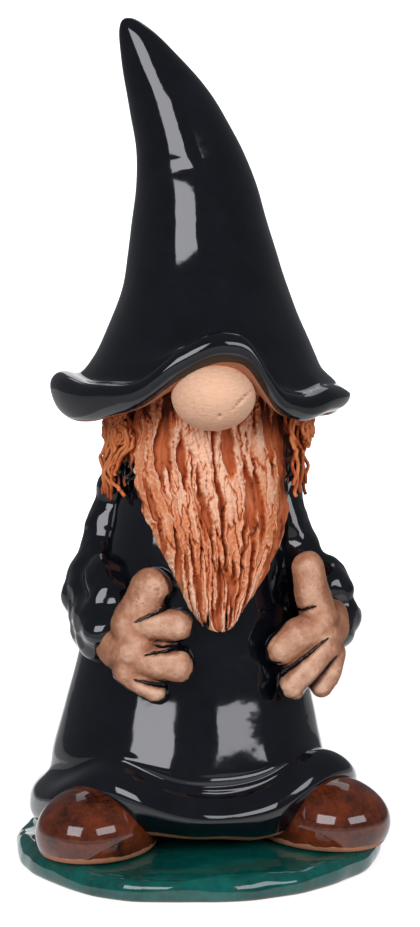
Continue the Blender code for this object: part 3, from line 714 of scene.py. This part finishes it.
def beard_surface(points):
    """Each grid point's place on the torn slab in millimetres, its relief with some painted shade, and its
    glaze.
    """
    side, v = 2 * points[:, 0], 0.5 - points[:, 1]
    z = BEARD_TOP - (BEARD_TOP - BEARD_TIP) * v
    half = curve_through(BEARD_HALF, z)
    half = half * (1 + 0.04 * flecks(6 * side, z, 6, 6, 14) + 0.025 * flecks(6 * side, z, 6, 2, 15))
    x = curve_through(BEARD_MIDDLE, z) + side * half
    lane = side * np.sqrt(np.maximum(half, 6) * 29)
    lane = lane + 2.4 * flecks(lane, z, 10, 22, 2)
    lane = lane + 0.9 * flecks(x, z, 3, 5, 4) + 0.4 * flecks(x, z, 1.1, 1.6, 5)
    stroke = flecks(lane, z, 2.7, 27, 3)
    strand = flecks(lane, z, 1.8, 15, 8)
    hairs = flecks(lane, z, 0.8, 9, 7)
    ridge = 1 - ease(-stroke, 0.02, 0.26)
    torn = np.clip(flecks(x, z, 1.2, 1.5, 10) + 0.15, 0, 1) * ridge * (0.4 + hill(stroke, 0.06, 0.1))
    bits = np.clip(flecks(x, z, 0.6, 0.75, 11) - 0.15, 0, 1) * ridge
    pits = np.clip(flecks(x, z, 0.9, 1.6, 12) - 0.25, 0, 1) * hill(stroke, 0, 0.25)
    crack = hill(strand, 0, 0.06) * ridge
    centre = hill(z, 162, 19) * hill(x, 4, 17)
    edge = 1 - np.abs(side) ** 8
    height = 3.4 * ridge - 3.1 + strand * (0.4 + 0.8 * ridge) + 0.35 * hairs
    height = height + 1.5 * torn + 0.9 * bits - 1.3 * crack - 1.6 * pits
    cut = sum(hill(x, middle, 0.5) for middle in TIP_CUTS) * (1 - ease(z, 98, 104)) * ease(z, 93, 96)
    out = (BEARD_THICKNESS - TIP_THINNER * v) * (0.45 + 0.55 * edge) + height * (0.25 + 0.75 * edge) - 4 * cut
    width, depth = body_halves(z)
    sine = np.clip((x - body_x(z)) / (width + 8), -0.97, 0.97)
    worked = np.stack([x + 1.1 * ridge * edge, BODY_Y - (depth + out) * np.sqrt(1 - sine**2), z], axis=1)
    relief = ridge * (0.46 + 0.4 * strand + 0.8 * centre) + 0.25 * hairs + 0.5 * torn + 0.55 * bits - 0.33
    # Painted shade: the cracks, the pits and a thin line at the foot of each ridge's wall are darkened.
    relief = relief - 0.8 * crack - 1.1 * pits - 0.4 * hill(stroke, -0.12, 0.08)
    # The top of the beard, under the brim, is darker except in its middle: an orange stain and painted shade.
    stain_and_brim_shade = 0.6 * ease(z, 165, 180) * (1 - 0.8 * hill(x, 5, 13))
    paler = 0.3 * (1 - ease(z, 97, 128))
    return worked, relief - stain_and_brim_shade + paler, cut


beard = added(
    "combed_beard", bpy.ops.mesh.primitive_grid_add, x_subdivisions=ACROSS, y_subdivisions=DOWN, size=1
)
worked, relief, cut = beard_surface(points_of(beard)[0])
sculpt(beard, lambda p, n: worked * MM)
near = 1 - ease(off_body(worked) + 0.8 * wander(worked, 4, 3), 1.4, 3.0)
mark(beard, "relief", np.clip(relief, -1, 1))
mark(beard, "glaze", np.clip(np.maximum(near, cut), 0, 1))
pick(beard)
bpy.ops.object.mode_set(mode="EDIT")
bpy.ops.mesh.select_all(action="DESELECT")
bpy.ops.mesh.select_non_manifold()
bpy.ops.mesh.extrude_edges_move(TRANSFORM_OT_translate={"value": (0, 8 * MM, 0)})
bpy.ops.mesh.edge_face_add()
bpy.ops.mesh.select_all(action="SELECT")
bpy.ops.mesh.normals_make_consistent(inside=False)
bpy.ops.object.mode_set(mode="OBJECT")
beard.data.shade_smooth()
print("the beard's front faces", points_of(beard)[1][: len(worked), 1].mean())
put(beard, "beard")

# %% [markdown]
# ## The hair
#
# Hair like this is made by pressing soft clay through a sieve: it comes out as thin strings, which are
# stuck on in bunches and mat together. Each string here is a curve with a round bevel. All strings of a
# bunch are pushed aside by the same slow noise, so neighbours swirl together, and some are wound into flat
# curls. A soft pad below them, copied from the hair's solid, keeps the head from showing through.

# %% A copy of a solid, ready for sculpting
def copied(node, name, voxel, rounds):
    """The node's solid as a new mesh of even faces about one voxel wide, smoothed."""
    obj = linked(name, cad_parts[node].data.copy())
    pick(obj)
    bpy.ops.object.mode_set(mode="EDIT")
    bpy.ops.mesh.select_all(action="SELECT")
    bpy.ops.mesh.remove_doubles(threshold=0.00001)
    bpy.ops.object.mode_set(mode="OBJECT")
    obj.data.materials.clear()
    apply_modifier(obj, "REMESH", mode="VOXEL", voxel_size=voxel)
    apply_modifier(obj, "SMOOTH", factor=0.5, iterations=rounds)
    obj.data.shade_smooth()
    return obj


# %% Strings of clay
STRING_RADIUS = 0.74
HAIR_TOP = 191.0
HEAD_RADIUS = 38
LOOPS = 56


def string_points(rng, side, start_angle, layer, short):
    """One string from under the brim down to its ragged end, as points in metres."""
    length = 20 + 14 * rng.random() if rng.random() < short else 36 + 10 * rng.random()
    steps = np.linspace(0, 1, 44)
    z = HAIR_TOP - 4 * rng.random() - length * steps
    row = np.stack([0 * z + start_angle * 0.62, z, 0 * z + layer * 2], axis=1)
    swirl = 9.0 * wander(row, 10, 3 + side) + 3.0 * wander(row, 4, 8)
    size = 0.7 + 1.7 * rng.random()
    turn = 6.3 * rng.random() + (8 + 10 * rng.random()) * steps
    angle = start_angle + np.degrees((swirl + size * np.sin(turn)) / HEAD_RADIUS)
    out = layer + 1.5 * wander(row, 7, 5) + 0.6 * rng.normal() + 1.2 * np.sin(3.1 * steps)
    out = np.maximum(out + 0.5 * size * np.cos(turn + 1), 1.2)
    return on_body(side * np.maximum(angle, start_angle - 5), z + 0.9 * size * np.cos(turn), out) * MM


def loop_points(rng, side, angle, z, out, size):
    """A string wound into a flat curl on top of the bunch."""
    turns = np.linspace(0, 6.3 * (1.3 + 0.9 * rng.random()), 34)
    grow = size * (1 - 0.075 * turns)
    a = angle + np.degrees(grow * np.cos(turns + 3 * size) / HEAD_RADIUS)
    return on_body(side * a, z + grow * np.sin(turns + 3 * size), out + 0.08 * turns) * MM


def bunch(node_name, side, first_angle, layers, short, stray, seed):
    """The strings of one side of the head on a pad of clay: each layer has a height and a spacing."""
    rng = np.random.default_rng(seed)
    paths = []
    for layer, spacing in layers:
        for angle in np.arange(first_angle, 181, spacing):
            paths.append(string_points(rng, side, angle + 0.4 * rng.normal(), layer, short))
    top = layers[-1][0]
    for i in range(LOOPS):
        angle = first_angle + 4 + (44 if i < LOOPS // 2 else 112) * rng.random()
        place = (167 + 16 * rng.random(), top + 0.4 + stray * rng.random(), 1.9 + 2.4 * rng.random())
        paths.append(loop_points(rng, side, angle, *place))
    name = "string_" + node_name
    curve = bpy.data.curves.new(name, "CURVE")
    curve.dimensions = "3D"
    curve.bevel_depth = STRING_RADIUS * MM
    curve.bevel_resolution = 1
    curve.use_fill_caps = True
    for path in paths:
        spline = curve.splines.new("POLY")
        spline.points.add(len(path) - 1)
        spline.points.foreach_set("co", np.c_[path, np.ones(len(path))].ravel())
    pick(linked(name, curve))
    bpy.ops.object.convert(target="MESH")
    obj = bpy.context.object
    pad = copied(node_name, name + "_pad", 1.2 * MM, 4)
    sculpt(pad, lambda p, n: p - n * 2.2 * MM)
    pick(obj)
    pad.select_set(True)
    bpy.ops.object.join()
    obj.data.shade_smooth()
    mm = points_of(obj)[0] / MM
    off = off_body(mm)
    # Strings that lie deeper, and the pad below them, are darker: an orange stain and painted shade between
    # the strings.
    level = (off - top) / 3.0 + 0.55 * wander(mm, 2.2, seed) + 0.3 * wander(mm, 9, 2)
    mark(obj, "relief", np.clip(level, -1, 0.9))
    ends = 1 - ease(mm[:, 2] + 4 * wander(mm, 5, 7), 150, 164)
    mark(obj, "glaze", ends * (1 - ease(off, top - 2.0, top + 0.5)))
    put(obj, node_name)
    return obj


LAYERS_RIGHT = ((3.0, 2.5), (4.8, 2.4), (6.4, 2.8))
LAYERS_LEFT = ((5.0, 2.7), (9.0, 2.6), (12.6, 3.0))
hair_right = bunch("hair_right", side=-1, first_angle=48, layers=LAYERS_RIGHT, short=0.45, stray=1.8, seed=21)
hair_left = bunch("hair_left", side=1, first_angle=62, layers=LAYERS_LEFT, short=0.65, stray=4.0, seed=22)

# %% [markdown]
# ## The head
#
# The head is only a collar of bare clay inside the hat. It hardly shows, so its solid is kept, softened a
# little.

# %% The head
head = copied("head", "clay_head", 1.5 * MM, 4)
dented(head, 0.4 * MM, 6 * MM, "head_dents")
put(head, "head")

# %% [markdown]
# ## Finishes
#
# Two effects come back in several finishes, so each is a node group. The first is the grain of fired
# clay: fine specks of grog and a sandy bump. The second is the ragged line where glaze stops and bare clay
# starts.

# %% Shared effects
def node(tree, kind, **inputs):
    """Add a node and set its input values by name."""
    made = tree.nodes.new(kind)
    for key, value in inputs.items():
        made.inputs[key.replace("_", " ")].default_value = value
    return made


def noise_node(tree, vector, scale, detail, roughness):
    """Noise of this scale over a vector."""
    made = node(tree, "ShaderNodeTexNoise", Scale=scale, Detail=detail, Roughness=roughness)
    tree.links.new(vector, made.inputs["Vector"])
    return made


def ramp(tree, factor, *stops):
    """A colour ramp: each stop is a position and a colour."""
    made = tree.nodes.new("ShaderNodeValToRGB")
    while len(made.color_ramp.elements) < len(stops):
        made.color_ramp.elements.new(0.5)
    for element, (position, colour) in zip(made.color_ramp.elements, stops):
        element.position = position
        element.color = (*colour, 1)
    tree.links.new(factor, made.inputs["Fac"])
    return made.outputs["Color"]


def mix(tree, factor, first, second):
    """Mix two colours, each of them a socket or a colour, by a socket."""
    made = tree.nodes.new("ShaderNodeMix")
    made.data_type = "RGBA"
    for key, value in (("Factor", factor), ("A", first), ("B", second)):
        socket = next(s for s in made.inputs if s.name == key and s.enabled)
        if isinstance(value, bpy.types.NodeSocket):
            tree.links.new(value, socket)
        elif isinstance(value, (int, float)):
            socket.default_value = value
        else:
            socket.default_value = (*value, 1)
    return next(s for s in made.outputs if s.enabled)


def maths(tree, operation, *values):
    """A sum on sockets or numbers, kept between 0 and 1 unless it is a difference."""
    made = tree.nodes.new("ShaderNodeMath")
    made.operation = operation
    made.use_clamp = operation != "SUBTRACT"
    for socket, value in zip(made.inputs, values):
        if isinstance(value, bpy.types.NodeSocket):
            tree.links.new(value, socket)
        else:
            socket.default_value = value
    return made.outputs[0]


def attribute(tree, name):
    """The number that a piece has stored under this name."""
    made = tree.nodes.new("ShaderNodeAttribute")
    made.attribute_name = name
    return made.outputs["Fac"]


def group(name, outputs):
    """An empty node group with a Vector input and these outputs."""
    made = bpy.data.node_groups.new(name, "ShaderNodeTree")
    made.interface.new_socket("Vector", in_out="INPUT", socket_type="NodeSocketVector")
    for key, kind in outputs:
        made.interface.new_socket(key, in_out="OUTPUT", socket_type=kind)
    return made, made.nodes.new("NodeGroupInput"), made.nodes.new("NodeGroupOutput")


grain, entry, leave = group("clay grain", (("Specks", "NodeSocketFloat"), ("Height", "NodeSocketFloat")))
specks = noise_node(grain, entry.outputs["Vector"], 900, 2.0, 0.6)
specks = ramp(grain, specks.outputs["Fac"], (0.60, (0, 0, 0)), (0.72, (1, 1, 1)))
grain.links.new(specks, leave.inputs["Specks"])
sand = noise_node(grain, entry.outputs["Vector"], 1500, 4.0, 0.7)
coarse = noise_node(grain, entry.outputs["Vector"], 420, 3.0, 0.6)
sandy = maths(grain, "MULTIPLY_ADD", sand.outputs["Fac"], 0.5, coarse.outputs["Fac"])
grain.links.new(sandy, leave.inputs["Height"])

edge, entry, leave = group("glaze edge", (("Bare", "NodeSocketFloat"),))
ragged = noise_node(edge, entry.outputs["Vector"], 450, 3.0, 0.6)
ragged = maths(edge, "MULTIPLY_ADD", ragged.outputs["Fac"], 0.7, -0.35)
line = maths(edge, "ADD", attribute(edge, "bare"), ragged)
edge.links.new(ramp(edge, line, (0.42, (0, 0, 0)), (0.56, (1, 1, 1))), leave.inputs["Bare"])
print("groups:", grain.name, "and", edge.name)

# %% [markdown]
# ## Glazes
#
# A gloss glaze is glass: a smooth surface over a deep colour that varies with its thickness. So the
# roughness is low, the colour is mottled by noise at two sizes, and a very faint bump makes reflections
# waver. Below the glaze line the same material turns into bare clay.

# %% Gloss glazes
BARE_CLAY, BARE_SPECKS = (0.42, 0.17, 0.085), (0.55, 0.28, 0.16)
GLOSS, SMEARED = 0.05, 0.10
GLASS_IOR = 1.52


def finish(name):
    """A new material with its tree, its shader and the object's own coordinates."""
    made = bpy.data.materials.new(name)
    made.use_nodes = True
    tree = made.node_tree
    shader = tree.nodes["Principled BSDF"]
    place = tree.nodes.new("ShaderNodeTexCoord").outputs["Object"]
    return made, tree, shader, place


def use_group(tree, shared, place):
    """A shared effect, placed on the object's own coordinates."""
    made = tree.nodes.new("ShaderNodeGroup")
    made.node_tree = shared
    tree.links.new(place, made.inputs["Vector"])
    return made


def bump(tree, shader, height, strength, distance):
    """Let a height stand out on the shader's surface."""
    made = node(tree, "ShaderNodeBump", Strength=strength, Distance=distance)
    tree.links.new(height, made.inputs["Height"])
    tree.links.new(made.outputs["Normal"], shader.inputs["Normal"])


def coat(material, *pieces):
    """Give these pieces one material."""
    for piece in pieces:
        piece.data.materials.clear()
        piece.data.materials.append(material)


def glaze(name, deep, thin, mottle, worn=None):
    """A glossy glaze from a deep colour to a thin one, bare where the piece says so, worn on its ridges."""
    made, tree, shader, place = finish(name)
    blotch = noise_node(tree, place, mottle, 4.0, 0.6)
    fine = noise_node(tree, place, mottle * 6, 3.0, 0.6)
    depth = maths(tree, "MULTIPLY", blotch.outputs["Fac"], 0.8)
    depth = maths(tree, "MULTIPLY_ADD", fine.outputs["Fac"], 0.35, depth)
    colour = ramp(tree, depth, (0.38, deep), (0.75, thin))
    if worn:
        spots = noise_node(tree, place, 260, 4.0, 0.7)
        ridge = maths(tree, "MULTIPLY_ADD", spots.outputs["Fac"], 1.6, -0.9)
        ridge = maths(tree, "MULTIPLY", maths(tree, "MAXIMUM", attribute(tree, "relief"), 0.0), ridge)
        colour = mix(tree, ramp(tree, ridge, (0.05, (0, 0, 0)), (0.22, (1, 1, 1))), colour, worn)
    fired = use_group(tree, grain, place)
    bare = use_group(tree, edge, place).outputs["Bare"]
    fired_colour = mix(tree, fired.outputs["Specks"], BARE_CLAY, BARE_SPECKS)
    tree.links.new(mix(tree, bare, colour, fired_colour), shader.inputs["Base Color"])
    smear = noise_node(tree, place, 60, 3.0, 0.5)
    rough = ramp(tree, smear.outputs["Fac"], (0.3, (GLOSS,) * 3), (0.8, (SMEARED,) * 3))
    tree.links.new(mix(tree, bare, rough, (0.85, 0.85, 0.85)), shader.inputs["Roughness"])
    swim = noise_node(tree, place, 110, 2.0, 0.4)
    height = mix(tree, bare, swim.outputs["Fac"], fired.outputs["Height"])
    bump(tree, shader, height, strength=0.12, distance=0.001)
    shader.inputs["IOR"].default_value = GLASS_IOR
    return made


black = glaze("black glaze", (0.0017, 0.0022, 0.0036), (0.0052, 0.0062, 0.0098), 40)
brown = glaze("brown glaze", (0.016, 0.005, 0.0035), (0.17, 0.032, 0.009), 110)
green = glaze("green glaze", (0.001, 0.040, 0.034), (0.003, 0.12, 0.097), 55, worn=(0.075, 0.05, 0.018))
coat(black, robe, hat, sleeve_right, sleeve_left)
coat(brown, *shoes)
coat(green, plate)
print("glazes:", black.name, brown.name, green.name)

# %% [markdown]
# ## Bare clay
#
# The nose and the hands are bare. The beard and the hair carry an orange stain that stays in the grooves
# and is worn off the ridges, so each clay runs through four colours by the relief stored on its mesh.
# The darkest colours, in the beard's cracks and pits and between the strings of hair, are partly painted
# shade, and the palest on the hands' knuckles and fronts is a painted highlight. Black glaze has run from
# the robe into the cuts and along the edges: the stored glaze mark turns those places black and shiny, and
# on the sides of the hands that black is partly painted shade.

# %% Clay finishes
# The black of run glaze also serves as painted shade on the sides of the hands.
RUN_GLAZE_AND_SHADE, GLAZE_STAIN, GROG = (0.004, 0.0045, 0.006), (0.10, 0.03, 0.012), (0.16, 0.07, 0.04)
LEVELS = (0.1, 0.32, 0.56, 0.84)
# Colours from the cracks to the ridges: the darkest beard and hair colours are partly painted shade, and the
# palest hand colour is partly a painted highlight on the knuckles.
NOSE_COLOURS = ((0.44, 0.21, 0.105), (0.70, 0.39, 0.235), (0.85, 0.50, 0.315), (0.90, 0.58, 0.40))
HAND_COLOURS = ((0.15, 0.05, 0.02), (0.33, 0.13, 0.062), (0.49, 0.225, 0.122), (0.74, 0.45, 0.30))
BEARD_COLOURS = ((0.12, 0.018, 0.004), (0.50, 0.108, 0.024), (0.70, 0.255, 0.106), (0.88, 0.52, 0.345))
HAIR_COLOURS = ((0.05, 0.008, 0.002), (0.27, 0.042, 0.008), (0.50, 0.100, 0.020), (0.70, 0.225, 0.072))


def clay(name, colours, strength=0.35, spots=0.2, gloss=0.4):
    """Fired clay with four colours from its cracks to its ridges, and black glaze where that has run."""
    made, tree, shader, place = finish(name)
    fired = use_group(tree, grain, place)
    cloud = noise_node(tree, place, 130, 4.0, 0.65)
    level = maths(tree, "MULTIPLY_ADD", attribute(tree, "relief"), 0.5, 0.5)
    level = maths(tree, "ADD", level, maths(tree, "MULTIPLY_ADD", cloud.outputs["Fac"], 0.5, -0.25))
    colour = ramp(tree, level, *zip(LEVELS, colours))
    colour = mix(tree, maths(tree, "MULTIPLY", fired.outputs["Specks"], spots), colour, GROG)
    rough = ramp(tree, cloud.outputs["Fac"], (0.3, (0.62,) * 3), (0.7, (0.8,) * 3))
    ragged = maths(tree, "MULTIPLY_ADD", cloud.outputs["Fac"], 0.5, -0.25)
    run = maths(tree, "ADD", attribute(tree, "glaze"), ragged)
    stain = ramp(tree, run, (0.12, (0, 0, 0)), (0.5, (1, 1, 1)))
    colour = mix(tree, maths(tree, "MULTIPLY", stain, 0.65), colour, GLAZE_STAIN)
    cover = ramp(tree, run, (0.44, (0, 0, 0)), (0.54, (1, 1, 1)))
    tree.links.new(mix(tree, cover, colour, RUN_GLAZE_AND_SHADE), shader.inputs["Base Color"])
    tree.links.new(mix(tree, cover, rough, (0.07, 0.07, 0.07)), shader.inputs["Roughness"])
    bump(tree, shader, mix(tree, cover, fired.outputs["Height"], (0.5, 0.5, 0.5)), strength, 0.0008)
    shader.inputs["Specular IOR Level"].default_value = gloss
    return made


nose_clay = clay("nose clay", NOSE_COLOURS)
hand_clay = clay("hand clay", HAND_COLOURS, strength=0.7, spots=0.45, gloss=0.5)
beard_clay = clay("beard clay", BEARD_COLOURS, spots=0.1)
hair_clay = clay("hair clay", HAIR_COLOURS, spots=0.1)
coat(nose_clay, nose, head)
coat(hand_clay, hand_right, hand_left)
coat(beard_clay, beard)
coat(hair_clay, hair_right, hair_left)
print("clays:", nose_clay.name, hand_clay.name, beard_clay.name, hair_clay.name)

# %% [markdown]
# ## Stage, light and camera
#
# The figure stands on a roll of white paper that hangs down behind it, with a softbox on each side in
# front. The softboxes matter most, because black gloss shows little else. The paper is narrow and the room
# around it is dim, which keeps the glaze dark right to its edges. A third softbox lights the figure's back,
# and the hanging paper is clear from behind, so that the back can be looked at too.

# %% Stage
def white(name, base, glow, one_sided=False):
    """White that takes shadows and glows for camera and reflections; one-sided, its back is clear."""
    made, tree, shader, place = finish(name)
    fibres = noise_node(tree, place, 3.0, 2.0, 0.5)
    tone = ramp(tree, fibres.outputs["Fac"], (0.3, (base,) * 3), (0.7, (base + 0.02,) * 3))
    tree.links.new(tone, shader.inputs["Base Color"])
    shader.inputs["Roughness"].default_value = 0.9
    rays = tree.nodes.new("ShaderNodeLightPath")
    seen = maths(tree, "MAXIMUM", rays.outputs["Is Camera Ray"], rays.outputs["Is Glossy Ray"])
    seen = maths(tree, "MAXIMUM", seen, rays.outputs["Is Transmission Ray"])
    tree.links.new(maths(tree, "MULTIPLY", seen, glow), shader.inputs["Emission Strength"])
    shader.inputs["Emission Color"].default_value = (1, 1, 1, 1)
    if one_sided:
        back = tree.nodes.new("ShaderNodeNewGeometry").outputs["Backfacing"]
        tree.links.new(maths(tree, "SUBTRACT", 1.0, back), shader.inputs["Alpha"])
    return made


def paper(name, middle, width, length, turn, material):
    """A flat sheet of the stage, turned up by this many degrees."""
    tilt = (math.radians(turn), 0, 0)
    obj = added(name, bpy.ops.mesh.primitive_plane_add, size=1, location=middle, rotation=tilt)
    obj.scale = (width, length, 1)
    bpy.ops.object.transform_apply(location=True, rotation=True, scale=True)
    coat(material, obj)


PAPER_WIDTH = 0.5
ROOM = (0.15, 0.155, 0.17, 1)
paper("floor", (0, 0, -0.001), 8, 8, 0, white("studio floor", 0.4, 0.3))
paper("paper", (0, 0.43, 0), PAPER_WIDTH, 1.14, 0, white("floor paper", 0.80, 0.72))
hanging = white("backdrop paper", 0.80, 1.0, one_sided=True)
paper("backdrop", (0, 1.0, 0.6), PAPER_WIDTH, 1.2, 90, hanging)
world = bpy.data.worlds.new("studio")
world.use_nodes = True
world.node_tree.nodes["Background"].inputs["Color"].default_value = ROOM
bpy.context.scene.world = world
print("stage: floor, paper and backdrop")


# %% Light
LIGHT_TARGET = Vector((0, 0, 0.16))
LIGHT_COLOUR = (0.95, 0.95, 1.0)


def softbox(name, azimuth, elevation, distance, width, height, power):
    """A rectangular lamp that faces the figure from this direction, in degrees from the front."""
    a, e = math.radians(azimuth), math.radians(elevation)
    way = Vector((math.sin(a) * math.cos(e), -math.cos(a) * math.cos(e), math.sin(e)))
    lamp = bpy.data.lights.new(name, "AREA")
    lamp.shape = "RECTANGLE"
    lamp.size, lamp.size_y, lamp.energy = width, height, power
    lamp.color = LIGHT_COLOUR
    obj = linked(name, lamp)
    obj.location = LIGHT_TARGET + way * distance
    obj.rotation_euler = way.to_track_quat("Z", "Y").to_euler()
    obj.visible_camera = False
    print(name, "at", np.round(obj.location, 2))


softbox("softbox_left", azimuth=-27, elevation=21.5, distance=1.25, width=0.74, height=0.62, power=10.3)
softbox("softbox_right", azimuth=42, elevation=18.5, distance=1.25, width=0.84, height=0.46, power=7.1)
softbox("softbox_back", azimuth=180, elevation=52, distance=1.4, width=1.0, height=0.6, power=2.6)

# %% Camera
CAMERA_PLACE = (0.0048, -0.70, 0.19)
LOOKS_DOWN = 2.73
LENS, SENSOR_HEIGHT = 67.96, 36
camera = bpy.data.cameras.new("camera")
camera.sensor_fit = "VERTICAL"
camera.sensor_height = SENSOR_HEIGHT
camera.lens = LENS
view = linked("camera", camera)
view.location = CAMERA_PLACE
view.rotation_euler = (math.radians(90 - LOOKS_DOWN), 0, 0)
bpy.context.scene.camera = view
bpy.context.scene.view_settings.view_transform = "Standard"
print("camera at", CAMERA_PLACE)

# %% [markdown]
# ## Last update
#
# The view layer is updated once more, at the end.

# %% Update
bpy.context.view_layer.update()
